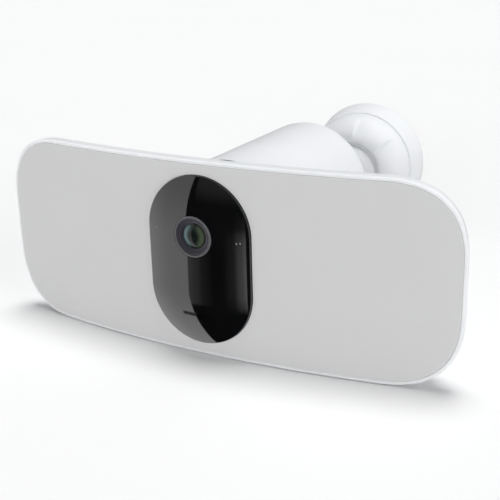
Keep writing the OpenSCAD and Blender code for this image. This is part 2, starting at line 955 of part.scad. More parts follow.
// A stadium tube, open below over the battery, with a deck that carries the main board
module core_chassis() {
    tube_d = core_back_d + cap_t;
    inner_end_d = back_d - 12;
    bay_low = core_lid_z - core_h / 4;
    color(dark) difference() {
        union() {
            slab(tube_d, back_d) difference() {
                stadium(core_w, core_h);
                stadium(core_w - 2 * core_wall, core_h - 2 * core_wall);
            }
            intersection() {
                slab(tube_d, back_d) stadium(core_w - 1, core_h - 1);
                union() {
                    block(core_w, deck_t, tube_d, inner_end_d, 0, core_lid_z + deck_t / 2);
                    block(core_w, core_h / 2, battery_front_d, battery_front_d + deck_t, 0, bay_low);
                }
            }
            intersection() {
                slab(back_d - 6, back_d) stadium(core_w, core_h);
                core_screw_spots() rod(4.5, back_d - 7, back_d);
            }
        }
        block(battery_w + 2 * seat, core_h / 2 - 6, core_back_d - 1, battery_front_d, 0, bay_low);
        release_channel(inner_end_d);
        core_screw_spots() rod(core_screw_r + 0.1, back_d - 6.5, back_d + eps);
    }
}

module core_end_cap() {
    color(dark) difference() {
        slab(core_back_d, core_back_d + cap_t) stadium(core_w, core_h);
        release_channel(core_back_d + cap_t + 1);
    }
}

module core_screws() {
    color(steel) core_screw_spots() {
        rod(core_screw_r, back_d - 5.5, floor_d);
        rod(core_screw_head_r, floor_d, floor_d + core_screw_head_t);
    }
}

module battery_pack() {
    front = battery_back_d + battery_len;
    color(dark) intersection() {
        block(battery_w, battery_h, battery_back_d, front, 0, core_lid_z - 0.4 - battery_h / 2);
        slab(battery_back_d - 1, front + 1)
            stadium(core_w - 2 * core_wall, core_h - 2 * core_wall - 3);
    }
}

module battery_contacts() {
    contact_w = 3;
    contact_h = 8;
    pitch = 7;
    color(brass) for (i = [-1.5:1:1.5])
        block(contact_w, contact_h, battery_front_d - contact_l, battery_front_d, i * pitch,
            core_lid_z - 10);
}

module main_board() {
    color(board_green)
        block(main_board_w, board_t, main_board_front_d - main_board_l, main_board_front_d,
            0, board_top_z - board_t / 2);
}

// Each chip is given as x, distance from the board's front end, and width
module board_chips() {
    chip_t = 1.4;
    color(dark)
        for (p = [[-20, 24, 14], [2, 22, 11], [22, 26, 9], [-18, 62, 9], [10, 66, 12]])
            block(p[2], chip_t, main_board_front_d - p[1] - p[2], main_board_front_d - p[1],
                p[0], board_top_z + chip_t / 2);
}

module board_shield() {
    shield_t = 3.2;
    shield_w = 30;
    color(steel)
        block(shield_w, shield_t, main_board_front_d - 60, main_board_front_d - 40, 0,
            board_top_z + shield_t / 2);
}

module antennas() {
    fin_t = 0.8;
    fin_h = 9;
    fin_l = 36;
    color(brass)
        for (s = [-1, 1])
            block(fin_t, fin_h, main_board_front_d - 50 - fin_l, main_board_front_d - 50,
                s * (core_w / 2 - 14), board_top_z + fin_h / 2);
}

// ---- Back panel fittings ----

module charge_port() {
    slot_l = 12;
    slot_t = 5;
    color(dark) difference() {
        rod(charge_r, back_d, floor_d + 1, charge_x, charge_z);
        block(slot_l, slot_t, back_d - 1, back_d + 1.2, charge_x, charge_z);
        charge_spots() rod(charge_pin_r, back_d - 1, floor_d + 2);
    }
}

module charge_spots() {
    for (i = [-1:1])
        translate([charge_x + charge_pitch * i, 0, charge_z]) children();
}

module charge_contacts() {
    color(brass) charge_spots() rod(charge_pin_r, back_d + 0.6, floor_d + 1);
}

module sync_button() {
    post_r = 2;
    color(pale_grey) {
        rod(sync_r, back_d, floor_d + 0.4, sync_x, 0);
        rod(post_r, floor_d + 0.3, floor_d + 1, sync_x, 0);
    }
}

module sync_spring() {
    spring_r = sync_r - 1.6;
    spring_t = 1;
    color(steel) difference() {
        rod(spring_r, floor_d + 0.5, led_board_d - sync_travel - 0.2, sync_x, 0);
        rod(spring_r - spring_t, floor_d, led_board_d + 1, sync_x, 0);
    }
}

mount_gasket();
wall_plate();
mount_base();
base_set_screw();
locking_collar();
collar_ring();
ball_liner();
ball_stud();
swivel_washer();
pod_housing();
thread_insert();
pod_seal();
release_button();
release_spring();
rear_housing();
light_diffuser();
diffuser_seal();
housing_screws();
heat_spreader(-1);  // heat_spreader_left
heat_spreader(1);  // heat_spreader_right
led_board(-1);  // led_board_left
led_board(1);  // led_board_right
leds(-1);  // leds_left
leds(1);  // leds_right
reflector(-1);  // reflector_left
reflector(1);  // reflector_right
camera_frame();
camera_window();
window_seal();
slot_grille();
lens_ring();
lens_cover();
lens_barrel();
lens_elements();
lens_holder();
image_sensor();
camera_board();
night_leds();
light_sensor();
microphones();
motion_sensor();
status_light();
speaker();
siren();
core_chassis();
core_screws();
core_end_cap();
battery_pack();
battery_contacts();
main_board();
board_chips();
board_shield();
antennas();
charge_port();
charge_contacts();
sync_button();
sync_spring();
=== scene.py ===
"""Looks for the floodlight security camera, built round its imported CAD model."""

import json
import math

import bmesh
import bpy
from mathutils import Euler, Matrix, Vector


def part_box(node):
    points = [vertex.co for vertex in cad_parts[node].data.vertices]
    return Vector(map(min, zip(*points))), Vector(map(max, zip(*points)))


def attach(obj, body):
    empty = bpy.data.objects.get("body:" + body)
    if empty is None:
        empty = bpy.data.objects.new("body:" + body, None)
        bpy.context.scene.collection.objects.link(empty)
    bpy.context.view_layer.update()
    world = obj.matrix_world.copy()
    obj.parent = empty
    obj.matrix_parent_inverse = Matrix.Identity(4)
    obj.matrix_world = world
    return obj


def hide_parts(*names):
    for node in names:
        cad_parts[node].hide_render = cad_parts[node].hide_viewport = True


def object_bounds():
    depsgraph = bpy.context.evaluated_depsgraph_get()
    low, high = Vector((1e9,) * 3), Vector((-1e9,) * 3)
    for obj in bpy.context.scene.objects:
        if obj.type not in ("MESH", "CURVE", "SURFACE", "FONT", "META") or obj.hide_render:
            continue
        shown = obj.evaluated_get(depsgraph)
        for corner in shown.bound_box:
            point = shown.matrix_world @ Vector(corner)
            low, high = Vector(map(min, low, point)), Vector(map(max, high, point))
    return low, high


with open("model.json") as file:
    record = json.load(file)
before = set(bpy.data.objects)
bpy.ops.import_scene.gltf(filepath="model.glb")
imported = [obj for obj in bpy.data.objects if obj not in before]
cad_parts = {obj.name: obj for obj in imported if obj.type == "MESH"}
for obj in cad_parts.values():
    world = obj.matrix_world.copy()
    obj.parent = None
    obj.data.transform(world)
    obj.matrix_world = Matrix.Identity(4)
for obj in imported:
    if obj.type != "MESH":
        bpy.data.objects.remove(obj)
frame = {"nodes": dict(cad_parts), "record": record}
cad_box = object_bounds()
MM = 0.001

# ---------------------------------------------------------------- sizes read from the frame


def size_of(node, axis):
    low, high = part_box(node)
    return (high[axis] - low[axis]) / MM


def front_of(node):
    """How far a node reaches out from the wall, in millimetres."""
    return -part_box(node)[0].y / MM


def back_of(node):
    return -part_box(node)[1].y / MM


def centre_of(node, axis):
    low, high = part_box(node)
    return (high[axis] + low[axis]) / 2 / MM


LAMP_W = size_of("rear_housing", 0)
LAMP_H = size_of("rear_housing", 2)
LAMP_R = 52.0
CORNER_POWER = 2.5
BOW_R = 759.0
RIM_WALL = 2.3
FRONT_D = front_of("light_diffuser")
BACK_D = back_of("rear_housing")
RIM_DEPTH = 9.5
LEDGE_T = 2.2
SKIRT_DEPTH = 6.1
LEDGE = 12.0
WINDOW_W = size_of("camera_window", 0)
WINDOW_H = size_of("camera_window", 2)
WINDOW_D = front_of("camera_window")
WINDOW_DOME_R = 100.0
LENS_Z = centre_of("lens_ring", 2)
LENS_R = size_of("lens_ring", 0) / 2
LENS_RING_T = 1.0
SLOT_Z = centre_of("slot_grille", 2)
SLOT_W = size_of("slot_grille", 0) - 4.0
SLOT_H = 2.4
SLOT_RIBS = 12
PORT_X = WINDOW_W / 2 - 7.2
PORT_R = 0.85
POD_W = size_of("pod_housing", 0)
POD_H = size_of("pod_housing", 2)
POD_BACK_D = back_of("pod_housing")
POD_FRONT_D = front_of("pod_housing")
POD_WALL = 2.8
POD_EDGE = 9.0
CORE_W = size_of("core_chassis", 0)
BASE_R = size_of("mount_base", 0) / 2
COLLAR_R = size_of("locking_collar", 0) / 2
COLLAR_BACK_D = back_of("locking_collar")
MOUTH_D = front_of("locking_collar")
MOUTH_R = 25.5
BALL_D = 34.0
BALL_R = size_of("ball_stud", 0) / 2
NECK_R = 11.0
SPIGOT_R = 34.2
RING_R = 33.1
SIDE_POINTS = 48
WINDOW_EDGE = 0.4
RIDGES = 8
FIRST_RIDGE = math.radians(2)

# ---------------------------------------------------------------- camera


def place_camera():
    """29 degrees round to the right, 19.5 above, with a slight roll."""
    data = bpy.data.cameras.new("camera")
    data.sensor_width = 36.0
    data.lens = 69.7
    data.clip_start = 0.02
    camera = bpy.data.objects.new("camera", data)
    camera.location = (0.31684, -FRONT_D * MM - 0.50253, 0.21672)
    turn = Euler((math.radians(90 - 19.5), 0, math.radians(29.09)), "XYZ").to_matrix()
    roll = Euler((0, 0, math.radians(-1.49)), "XYZ").to_matrix()
    camera.rotation_euler = (turn @ roll).to_euler()
    bpy.context.scene.collection.objects.link(camera)
    bpy.context.scene.camera = camera


place_camera()

# ---------------------------------------------------------------- materials


def new_material(name):
    material = bpy.data.materials.new(name)
    material.use_nodes = True
    return material, material.node_tree, material.node_tree.nodes["Principled BSDF"]


def add_noise(tree, scale, detail=4.0, rough=0.5):
    place = tree.nodes.new("ShaderNodeTexCoord")
    noise = tree.nodes.new("ShaderNodeTexNoise")
    noise.inputs["Scale"].default_value = scale
    noise.inputs["Detail"].default_value = detail
    noise.inputs["Roughness"].default_value = rough
    tree.links.new(place.outputs["Object"], noise.inputs["Vector"])
    return noise


def vary_colour(tree, shader, colour, spread, scale):
    """The colour drifts a little lighter and darker over the surface."""
    noise = add_noise(tree, scale)
    ramp = tree.nodes.new("ShaderNodeValToRGB")
    dark = [max(0.0, c * (1 - spread)) for c in colour]
    light = [min(1.0, c * (1 + spread)) for c in colour]
    ramp.color_ramp.elements[0].position = 0.3
    ramp.color_ramp.elements[1].position = 0.7
    ramp.color_ramp.elements[0].color = (*dark, 1)
    ramp.color_ramp.elements[1].color = (*light, 1)
    tree.links.new(noise.outputs["Fac"], ramp.inputs["Fac"])
    tree.links.new(ramp.outputs["Color"], shader.inputs["Base Color"])


def vary_roughness(tree, shader, rough, spread, scale):
    noise = add_noise(tree, scale, detail=3.0)
    reach = tree.nodes.new("ShaderNodeMapRange")
    reach.inputs["From Min"].default_value = 0.3
    reach.inputs["From Max"].default_value = 0.7
    reach.inputs["To Min"].default_value = max(0.0, rough - spread)
    reach.inputs["To Max"].default_value = rough + spread
    tree.links.new(noise.outputs["Fac"], reach.inputs["Value"])
    tree.links.new(reach.outputs["Result"], shader.inputs["Roughness"])


def add_bump(tree, shader, scale, depth, strength=1.0, detail=2.0):
    """A fine moulded texture, depth in millimetres."""
    noise = add_noise(tree, scale, detail=detail, rough=0.6)
    bump = tree.nodes.new("ShaderNodeBump")
    bump.inputs["Strength"].default_value = strength
    bump.inputs["Distance"].default_value = depth * MM
    tree.links.new(noise.outputs["Fac"], bump.inputs["Height"])
    tree.links.new(bump.outputs["Normal"], shader.inputs["Normal"])


def moulded(name, colour, rough, grain=1800, depth=0.02, spread=0.02, coat=0.0, level=0.5):
    """Moulded plastic: faint colour drift, uneven gloss and a fine grain."""
    material, tree, shader = new_material(name)
    vary_colour(tree, shader, colour, spread, 28)
    vary_roughness(tree, shader, rough, 0.04, 160)
    add_bump(tree, shader, grain, depth)
    shader.inputs["Specular IOR Level"].default_value = level
    shader.inputs["Coat Weight"].default_value = coat
    shader.inputs["Coat Roughness"].default_value = 0.08
    return material


def frosted_painted_glow(name, colour, glow):
    """Frosted panel with a painted glow: a white emission of strength glow evens out its
    shading, standing in for light falling on it.
    """
    material = moulded(name, colour, 0.62, grain=2600, depth=0.01, spread=0.008, level=0.3)
    shader = material.node_tree.nodes["Principled BSDF"]
    # Painted glow: white emission stands in for light on the panel.
    shader.inputs["Emission Color"].default_value = (1, 1, 1, 1)
    shader.inputs["Emission Strength"].default_value = glow
    return material


def metal(name, colour, rough, stretch=(1, 1, 14)):
    """Brushed or rolled metal with fine streaks."""
    material, tree, shader = new_material(name)
    shader.inputs["Metallic"].default_value = 1.0
    place = tree.nodes.new("ShaderNodeTexCoord")
    squeeze = tree.nodes.new("ShaderNodeMapping")
    squeeze.inputs["Scale"].default_value = stretch
    noise = tree.nodes.new("ShaderNodeTexNoise")
    noise.inputs["Scale"].default_value = 300
    ramp = tree.nodes.new("ShaderNodeValToRGB")
    ramp.color_ramp.elements[0].color = (*[c * 0.85 for c in colour], 1)
    ramp.color_ramp.elements[1].color = (*colour, 1)
    tree.links.new(place.outputs["Object"], squeeze.inputs["Vector"])
    tree.links.new(squeeze.outputs["Vector"], noise.inputs["Vector"])
    tree.links.new(noise.outputs["Fac"], ramp.inputs["Fac"])
    tree.links.new(ramp.outputs["Color"], shader.inputs["Base Color"])
    vary_roughness(tree, shader, rough, 0.08, 500)
    return material


def circuit(name, colour):
    """Solder mask over copper tracks, seen as a faint grid of lines."""
    material, tree, shader = new_material(name)
    place = tree.nodes.new("ShaderNodeTexCoord")
    bricks = tree.nodes.new("ShaderNodeTexBrick")
    bricks.inputs["Scale"].default_value = 320
    bricks.inputs["Mortar Size"].default_value = 0.03
    bricks.inputs["Color1"].default_value = (*colour, 1)
    bricks.inputs["Color2"].default_value = (*[c * 0.8 for c in colour], 1)
    bricks.inputs["Mortar"].default_value = (*[min(1, c * 1.7 + 0.02) for c in colour], 1)
    tree.links.new(place.outputs["Object"], bricks.inputs["Vector"])
    tree.links.new(bricks.outputs["Color"], shader.inputs["Base Color"])
    vary_roughness(tree, shader, 0.35, 0.05, 200)
    return material


def clear_glass(name, colour, film):
    """Coated glass: a thin film tints what it reflects."""
    material, tree, shader = new_material(name)
    shader.inputs["Base Color"].default_value = (*colour, 1)
    shader.inputs["Transmission Weight"].default_value = 1.0
    shader.inputs["IOR"].default_value = 1.6
    shader.inputs["Thin Film Thickness"].default_value = film
    shader.inputs["Thin Film IOR"].default_value = 1.38
    vary_roughness(tree, shader, 0.015, 0.01, 90)
    return material


def piano_black(name):
    """High-gloss black moulding with the faintest waviness."""
    material, tree, shader = new_material(name)
    vary_colour(tree, shader, (0.0035, 0.0036, 0.004), 0.15, 40)
    vary_roughness(tree, shader, 0.035, 0.012, 220)
    add_bump(tree, shader, 45, 0.012, detail=1.0)
    shader.inputs["IOR"].default_value = 1.5
    return material


def range_node(tree, source, target):
    """A smooth step from one range of values to another."""
    reach = tree.nodes.new("ShaderNodeMapRange")
    reach.interpolation_type = "SMOOTHSTEP"
    reach.inputs["From Min"].default_value, reach.inputs["From Max"].default_value = source
    reach.inputs["To Min"].default_value, reach.inputs["To Max"].default_value = target
    return reach


def lens_painted_reflections(tree):
    """Painted reflection colours across the lens, from its left side to its right."""
    painted_reflection_ramp = tree.nodes.new("ShaderNodeValToRGB")
    stops = painted_reflection_ramp.color_ramp.elements
    teal_reflection, green_reflection = (0.070, 0.115, 0.122, 1), (0.045, 0.060, 0.034, 1)
    stops[0].position, stops[0].color = 0.12, teal_reflection
    stops[1].position, stops[1].color = 0.88, green_reflection
    stops.new(0.38).color = (0.012, 0.018, 0.018, 1)
    stops.new(0.64).color = (0.010, 0.015, 0.012, 1)
    return painted_reflection_ramp


def lens_with_painted_reflections(name):
    """Dark glass with painted reflections: emitted teal along its left side, green along its
    right, dark between.
    """
    material, tree, shader = new_material(name)
    shader.inputs["Base Color"].default_value = (0.006, 0.008, 0.008, 1)
    shader.inputs["Specular IOR Level"].default_value = 0.15
    vary_roughness(tree, shader, 0.06, 0.02, 120)
    place = tree.nodes.new("ShaderNodeTexCoord")
    from_axis = tree.nodes.new("ShaderNodeVectorMath")
    from_axis.operation = "MULTIPLY_ADD"
    from_axis.inputs[1].default_value = (1 / MM, 0, 1 / MM)
    from_axis.inputs[2].default_value = (0, 0, -LENS_Z)
    length = tree.nodes.new("ShaderNodeVectorMath")
    length.operation = "LENGTH"
    split = tree.nodes.new("ShaderNodeSeparateXYZ")
    grow = range_node(tree, (2.5, 6.5), (0, 1))
    fade = range_node(tree, (6.8, 8.6), (1, 0.1))
    across = range_node(tree, (-8, 8), (0, 1))
    painted_reflection_ramp = lens_painted_reflections(tree)
    level = tree.nodes.new("ShaderNodeMath")
    level.operation = "MULTIPLY"
    tree.links.new(place.outputs["Object"], from_axis.inputs[0])
    tree.links.new(from_axis.outputs["Vector"], length.inputs[0])
    tree.links.new(from_axis.outputs["Vector"], split.inputs["Vector"])
    for i, reach in enumerate((grow, fade)):
        tree.links.new(length.outputs["Value"], reach.inputs["Value"])
        tree.links.new(reach.outputs["Result"], level.inputs[i])
    tree.links.new(split.outputs["X"], across.inputs["Value"])
    tree.links.new(across.outputs["Result"], painted_reflection_ramp.inputs["Fac"])
    # Painted reflections: the teal and green are emission, fading in a ring round the lens
    # centre.
    tree.links.new(painted_reflection_ramp.outputs["Color"], shader.inputs["Emission Color"])
    tree.links.new(level.outputs["Value"], shader.inputs["Emission Strength"])
    return material


def make_materials():
    """One material for each of the record's slots."""
    return {
        "white_plastic": moulded("white_plastic", (0.85, 0.862, 0.88), 0.38, spread=0.012,
                                 level=0.35),
        "foam": moulded("foam", (0.06, 0.06, 0.062), 0.9, grain=900, depth=0.2, spread=0.2),
        "steel": metal("steel", (0.52, 0.53, 0.55), 0.32),
        "black_plastic": moulded("black_plastic", (0.012, 0.012, 0.013), 0.5, spread=0.15),
        "nylon": moulded("nylon", (0.62, 0.62, 0.58), 0.5),
        "ball_plastic": moulded("ball_plastic", (0.74, 0.75, 0.77), 0.4, spread=0.012),
        "rubber": moulded("rubber", (0.014, 0.014, 0.014), 0.8, grain=1200, depth=0.05),
        "brass": metal("brass", (0.75, 0.52, 0.22), 0.28),
        "button_grey": moulded("button_grey", (0.56, 0.57, 0.585), 0.42),
        # The diffuser's emission of 0.245 is a painted glow that evens out its shading.
        "diffuser": frosted_painted_glow("diffuser", (0.38, 0.38, 0.382), 0.245),
        "aluminium": metal("aluminium", (0.72, 0.73, 0.75), 0.35, stretch=(14, 1, 1)),
        "led_board": circuit("led_board", (0.70, 0.70, 0.67)),
        "led_emitter": moulded("led_emitter", (0.85, 0.55, 0.08), 0.35, grain=3000),
        "reflector": moulded("reflector", (0.86, 0.86, 0.86), 0.55),
        "gloss_black": piano_black("gloss_black"),
        "lens_trim": moulded("lens_trim", (0.11, 0.112, 0.118), 0.4, spread=0.03),
        # The front glass carries painted reflections in teal and green.
        "lens_cover": lens_with_painted_reflections("lens_cover"),
        "lens_glass": clear_glass("lens_glass", (0.75, 0.9, 0.92), 520),
        "sensor": moulded("sensor", (0.03, 0.035, 0.06), 0.2, coat=0.5),
        "circuit_board": circuit("circuit_board", (0.012, 0.09, 0.045)),
        "chips": moulded("chips", (0.01, 0.01, 0.011), 0.55, grain=4000),
        "battery": moulded("battery", (0.02, 0.02, 0.022), 0.45, grain=1200, depth=0.03),
    }


MATERIALS = make_materials()
PORT_MESH = moulded("port_mesh", (0.22, 0.22, 0.225), 0.4, grain=4000)
BAFFLE = moulded("lens_baffle", (0.034, 0.030, 0.043), 0.45, spread=0.08)
SLOT_OF = {row["node"]: row["material_slot"] for row in frame["record"]["subparts"]}


def shade_smooth(piece, angle=32):
    """Smooth faces, with the edges sharper than angle left crisp."""
    limit = math.radians(angle)
    mesh = piece.data
    bm = bmesh.new()
    bm.from_mesh(mesh)
    for face in bm.faces:
        face.smooth = True
    for edge in bm.edges:
        edge.smooth = len(edge.link_faces) == 2 and edge.calc_face_angle(0) < limit
    bm.to_mesh(mesh)
    bm.free()


def soften(piece, width):
    """A small bevel along the sharp edges, width in millimetres."""
    bevel = piece.modifiers.new("edges", "BEVEL")
    bevel.width = width * MM
    bevel.segments = 2
    bevel.limit_method = "ANGLE"
    bevel.angle_limit = math.radians(40)
    bevel.harden_normals = True


def dress_cad_nodes():
    """Every CAD node gets its slot's material, softened edges and clean shading."""
    for name, node in frame["nodes"].items():
        material = MATERIALS[SLOT_OF[name]]
        node.data.materials.clear()
        node.data.materials.append(material)
        smallest = min(size_of(name, axis) for axis in range(3))
        soften(node, min(0.35, smallest / 8))


# ---------------------------------------------------------------- outlines and skins


def whole_outline(quarter):
    """A closed outline from the quarter that runs from top centre to right centre."""
    turned = quarter[::-1]
    return (
        quarter[:-1]
        + [(x, -z) for x, z in turned[:-1]]
        + [(-x, -z) for x, z in quarter[:-1]]
        + [(-x, z) for x, z in turned[:-1]]
    )


def panel_outline(width, height, radius, power=CORNER_POWER):
    """A rounded rectangle whose corners are a little squarer than a circle."""
    flat_x, flat_z = width / 2 - radius, height / 2 - radius
    flats, bends, sides = 16, 24, 8
    quarter = [(flat_x * i / flats, height / 2) for i in range(flats)]
    for i in range(bends + 1):
        angle = math.pi / 2 * i / bends
        quarter.append((
            flat_x + radius * math.sin(angle) ** (2 / power),
            flat_z + radius * max(0.0, math.cos(angle)) ** (2 / power),
        ))
    quarter += [(width / 2, flat_z * (1 - i / sides)) for i in range(1, sides + 1)]
    return whole_outline(quarter)


def pill_outline(width, height):
    """An upright stadium, with its points spread evenly along it."""
    radius = width / 2
    flat = (height - width) / 2
    arc = math.pi / 2 * radius
    quarter = []
    for i in range(SIDE_POINTS + 1):
        run = (arc + flat) * i / SIDE_POINTS
        angle = min(run / radius, math.pi / 2)
        drop = max(0.0, run - arc)
        quarter.append((radius * math.sin(angle), flat - drop + radius * math.cos(angle)))
    return whole_outline(quarter)


def round_outline(radius, z=0.0):
    angles = [math.tau * i / (4 * SIDE_POINTS) for i in range(4 * SIDE_POINTS)]
    return [(radius * math.sin(a), z + radius * math.cos(a)) for a in angles]


def square_to_bow(outline, drop):
    """Points in metres, set back from the bowed front along its own normals."""
    reach = 1 - drop / BOW_R
    points = []
    for x, z in outline:
        depth = FRONT_D - BOW_R + math.sqrt(BOW_R * BOW_R - x * x) * reach
        points.append(Vector((x * reach, -depth, z)) * MM)
    return points


def at_depth(outline, depth):
    """Points in metres. depth is the distance from the wall, or a function of x and z."""
    reach = depth if callable(depth) else (lambda x, z: depth)
    return [Vector((x, -reach(x, z), z)) * MM for x, z in outline]


def between(outer, inner, share):
    return [(a[0] + (b[0] - a[0]) * share, a[1] + (b[1] - a[1]) * share)
            for a, b in zip(outer, inner)]


def make_object(name, verts, faces):
    mesh = bpy.data.meshes.new(name)
    mesh.from_pydata(verts, [], faces)
    mesh.validate()
    piece = bpy.data.objects.new(name, mesh)
    bpy.context.scene.collection.objects.link(piece)
    bm = bmesh.new()
    bm.from_mesh(mesh)
    bmesh.ops.remove_doubles(bm, verts=bm.verts, dist=1e-6)
    bmesh.ops.recalc_face_normals(bm, faces=bm.faces)
    bm.to_mesh(mesh)
    bm.free()
    return piece


def skin(name, loops, joined=False, cap_first=False, cap_last=False):
    """A surface through loops of equal count; joined links the last loop to the first."""
    count = len(loops[0])
    verts = [p for loop in loops for p in loop]
    faces = []
    steps = len(loops) if joined else len(loops) - 1
    for i in range(steps):
        a, b = i * count, (i + 1) % len(loops) * count
        for k in range(count):
            n = (k + 1) % count
            faces.append((a + k, a + n, b + n, b + k))
    if cap_first:
        faces.append(tuple(range(count))[::-1])
    if cap_last:
        faces.append(tuple(range(len(verts) - count, len(verts))))
    return make_object(name, verts, faces)


def lathe(name, profile, z=0.0, x=0.0):
    """Turns a profile of (radius, distance from the wall) about a line along Y."""
    count = 4 * SIDE_POINTS
    loops = []
    for radius, depth in profile:
        loops.append([
            Vector((x + radius * math.sin(math.tau * k / count), -depth,
                    z + radius * math.cos(math.tau * k / count))) * MM
            for k in range(count)
        ])
    return skin(name, loops, joined=True)


def corner_arc(centre, radius, start, end, steps=6):
    """Points of (across, depth) on an arc, angles in degrees from the across axis."""
    points = []
    for i in range(steps + 1):
        angle = math.radians(start + (end - start) * i / steps)
        points.append((centre[0] + radius * math.cos(angle),
                       centre[1] + radius * math.sin(angle)))
    return points


def finish_piece(piece, body, slot, *nodes, angle=32, look=None):
    """Material, shading, body, slot and the CAD nodes that the piece stands for.

    look is a material to wear in place of the slot's own.
    """
    shade_smooth(piece, angle)
    piece.data.materials.clear()
    piece.data.materials.append(look or MATERIALS[slot])
    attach(piece, body)
    if nodes:
        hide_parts(*nodes)
    return piece


def cut(piece, *cutters):
    """Subtracts the cutters from the piece and removes them."""
    for cutter in cutters:
        step = piece.modifiers.new("cut", "BOOLEAN")
        step.object = cutter
        step.operation = "DIFFERENCE"
        step.solver = "EXACT"
        bpy.context.view_layer.update()
        dg = bpy.context.evaluated_depsgraph_get()
        mesh = bpy.data.meshes.new_from_object(piece.evaluated_get(dg))
        piece.modifiers.clear()
        old = piece.data
        piece.data = mesh
        mesh.name = piece.name
        bpy.data.meshes.remove(old)
        bpy.data.objects.remove(cutter)


def rod_cutter(radius, back, front, x=0.0, z=0.0, steps=48):
    loops = []
    for depth in (back, front):
        loops.append([
            Vector((x + radius * math.sin(math.tau * k / steps), -depth,
                    z + radius * math.cos(math.tau * k / steps))) * MM
            for k in range(steps)
        ])
    return skin("cutter", loops, cap_first=True, cap_last=True)


def slot_cutter(width, height, back, front, z):
    """A flat-sided cutter with rounded ends, along Y."""
    radius = height / 2
    steps = 8
    ring = []
    for sx, sz, start in ((1, 1, 0), (-1, 1, 90), (-1, -1, 180), (1, -1, 270)):
        cx, cz = sx * (width / 2 - radius), z + sz * (height / 2 - radius)
        for i in range(steps + 1):
            angle = math.radians(start + 90 * i / steps)
            ring.append((cx + radius * math.cos(angle), cz + radius * math.sin(angle)))
    loops = [at_depth(ring, back), at_depth(ring, front)]
    return skin("cutter", loops, cap_first=True, cap_last=True)


def follow_surface(piece, normal_at, agree=0.7):
    """Faces that lie on the formula's surface take its exact normals."""
    mesh = piece.data
    normals = []
    for poly in mesh.polygons:
        for index in poly.loop_indices:
            point = mesh.vertices[mesh.loops[index].vertex_index].co
            wanted = normal_at(point.x / MM, -point.y / MM, point.z / MM)
            on_it = wanted is not None and wanted.dot(poly.normal) > agree
            normals.append(wanted if on_it else poly.normal.copy())
    mesh.normals_split_custom_set(normals)


# ---------------------------------------------------------------- lamp


def bow(x):
    """Distance from the wall of the bowed front, at x."""
    return FRONT_D - (BOW_R - math.sqrt(BOW_R * BOW_R - x * x))


def build_diffuser():
    """The bowed grey panel with a rounded edge, a skirt and the hole for the window."""
    gap = RIM_WALL + 0.2
    thick = 2.4
    edge = 0.7
    window_gap = 0.35
    hole = pill_outline(WINDOW_W + 2 * window_gap, WINDOW_H + 2 * window_gap)

    def skirt(x, z):
        return bow(x) - SKIRT_DEPTH

    def panel(inset):
        return panel_outline(LAMP_W - 2 * (gap + inset), LAMP_H - 2 * (gap + inset),
                             LAMP_R - gap - inset)

    loops = [at_depth(panel(0), skirt)]
    for across, drop in corner_arc((edge, -edge), edge, 180, 90):
        loops.append(at_depth(panel(across), lambda x, z, d=drop: bow(x) + d))
    spread = 12
    for i in range(1, spread + 1):
        outline = between(panel(edge), hole, i / spread)
        loops.append(at_depth(outline, lambda x, z: bow(x)))
    loops.append(at_depth(hole, lambda x, z: bow(x) - thick))
    for i in range(1, 7):
        outline = between(hole, panel(thick), i / 6)
        loops.append(at_depth(outline, lambda x, z: bow(x) - thick))
    loops.append(at_depth(panel(thick), skirt))
    piece = skin("diffuser_panel", loops, joined=True)
    return finish_piece(piece, "head", "diffuser", "light_diffuser")


def build_housing():
    """The white back housing: bowed rim, ledge and raised back panel, one closed shell."""
    edge = 1.1
    back_edge = 1.5
    foot = 3.0
    crest = 4.5
    thick = 2.3
    lip_drop = 0.5
    core_gap = 0.2
    core = pill_outline(CORE_W + 2 * core_gap, size_of("core_end_cap", 2) + 2 * core_gap)

    def panel(inset):
        return panel_outline(LAMP_W - 2 * inset, LAMP_H - 2 * inset, LAMP_R - inset)

    loops = [
        at_depth(panel(RIM_WALL), lambda x, z: bow(x) - 3.0),
        at_depth(panel(RIM_WALL), lambda x, z: bow(x) - 0.8),
        at_depth(panel(RIM_WALL - 0.3), lambda x, z: bow(x) - lip_drop),
    ]
    for across, drop in corner_arc((edge, -edge), edge, 90, 180):
        loops.append(at_depth(panel(across), lambda x, z, d=drop: bow(x) - lip_drop + d))
    for across, drop in corner_arc((back_edge, RIM_DEPTH - back_edge), back_edge, 180, 90, 5):
        loops.append(square_to_bow(panel(across), drop))
    for across, drop in corner_arc((LEDGE - foot, RIM_DEPTH + foot), foot, 270, 360, 5):
        loops.append(at_depth(panel(across), lambda x, z, d=drop: bow(x) - d))
    for across, drop in corner_arc((LEDGE + crest, BACK_D + crest), crest, 180, 270, 6):
        loops.append(at_depth(panel(across), drop))
    start = panel(LEDGE + crest)
    for i in range(1, 7):
        loops.append(at_depth(between(start, core, i / 6), BACK_D))
    loops.append(at_depth(core, BACK_D + thick))
    for i in (3, 6):
        inner = panel(LEDGE + crest + 1)
        loops.append(at_depth(between(core, inner, i / 6), BACK_D + thick))
    loops.append(at_depth(panel(LEDGE + 3), lambda x, z: bow(x) - RIM_DEPTH + LEDGE_T))
    loops.append(at_depth(panel(RIM_WALL), lambda x, z: bow(x) - RIM_DEPTH + LEDGE_T))
    piece = skin("housing_shell", loops, joined=True)
    holes = []
    past = 2
    for node, gap in (("charge_port", 0.2), ("sync_button", 0.3)):
        radius = size_of(node, 0) / 2 + gap
        x, z = centre_of(node, 0), centre_of(node, 2)
        holes.append(rod_cutter(radius, BACK_D - past, BACK_D + 3 * past, x, z, steps=64))
    cut(piece, *holes)
    return finish_piece(piece, "head", "white_plastic", "rear_housing")


# ---------------------------------------------------------------- camera window and lens


def dome_sag(distance):
    return WINDOW_DOME_R - math.sqrt(WINDOW_DOME_R ** 2 - distance * distance)


